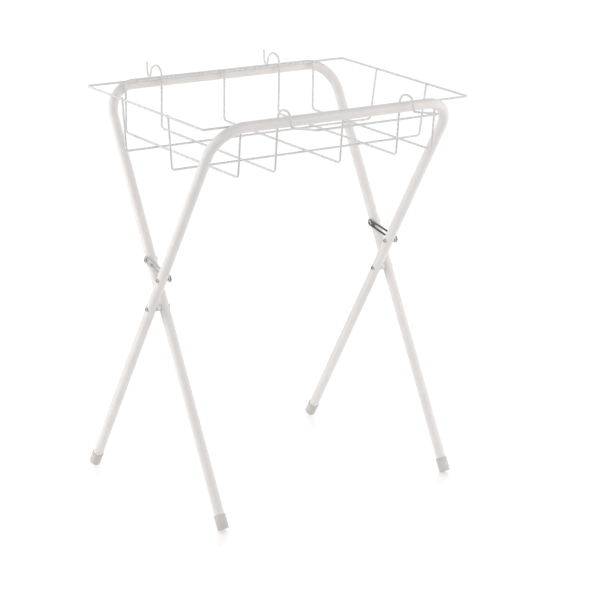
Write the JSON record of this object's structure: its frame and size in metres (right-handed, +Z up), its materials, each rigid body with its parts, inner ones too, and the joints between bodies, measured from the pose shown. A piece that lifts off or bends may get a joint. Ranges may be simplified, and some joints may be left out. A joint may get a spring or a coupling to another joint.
{
  "type": "baby bath stand",
  "caption": "Folding X-frame stand of bent white tube with a hooked-on wire basket that holds a baby bath and a towel rail in front.",
  "frame": {"origin": "centre of the footprint's bounding box on the floor, under the crossing of the legs", "axes": "+X along the top bars to the right, +Y from the front bar with the towel rail to the rear bar, +Z up"},
  "size_m": [0.6806, 0.6314, 0.8914],
  "materials": {
    "white_tube": "satin white powder coat",
    "white_wire": "satin white powder coat",
    "grey_cap": "soft grey moulded plastic",
    "white_bush": "white moulded plastic",
    "zinc_stay": "dull zinc-plated sheet steel",
    "zinc_rivet": "dull zinc-plated steel"
  },
  "bodies": {
    "rear_frame": {"rear_frame_tube": "white_tube", "foot_cap_front_left": "grey_cap", "foot_cap_front_right": "grey_cap", "pivot_rivet_left": "zinc_rivet", "pivot_rivet_right": "zinc_rivet", "pivot_spacer_left": "white_bush", "pivot_spacer_right": "white_bush", "stay_rivet_left": "zinc_rivet", "stay_rivet_right": "zinc_rivet"},
    "front_frame": {"front_frame_tube": "white_tube", "foot_cap_rear_left": "grey_cap", "foot_cap_rear_right": "grey_cap", "stay_pin_left": "zinc_rivet", "stay_pin_right": "zinc_rivet"},
    "left_stay": {"stay_left": "zinc_stay"},
    "right_stay": {"stay_right": "zinc_stay"},
    "basket": {"basket_rim": "white_wire", "cross_wire_left": "white_wire", "cross_wire_middle": "white_wire", "cross_wire_right": "white_wire", "hook_wire_left": "white_wire", "hook_wire_right": "white_wire", "long_wire_front": "white_wire", "long_wire_rear": "white_wire", "towel_rail": "white_wire"}
  },
  "joints": [
    {"name": "fold", "type": "hinge", "parent": "rear_frame", "child": "front_frame", "pos_m": [0, 0.03559, 0.4275], "axis": [-1, 0, 0], "range_deg": [0, 53]},
    {"name": "stay_left_swing", "type": "hinge", "parent": "rear_frame", "child": "left_stay", "pos_m": [-0.284, 0.08601, 0.51846], "axis": [1, 0, 0], "range_deg": [0, 30.31]},
    {"name": "stay_right_swing", "type": "hinge", "parent": "rear_frame", "child": "right_stay", "pos_m": [0.316, 0.08601, 0.51846], "axis": [1, 0, 0], "range_deg": [0, 30.31]},
    {"name": "basket_swing", "type": "hinge", "parent": "front_frame", "child": "basket", "pos_m": [0, -0.20141, 0.855], "axis": [1, 0, 0], "range_deg": [0, 127.21]}
  ],
  "couplings": [
    {"joint": "stay_left_swing", "follows": "fold", "ratio": 0.5716},
    {"joint": "stay_right_swing", "follows": "fold", "ratio": 0.5716},
    {"joint": "basket_swing", "follows": "fold", "ratio": 2.4}
  ]
}
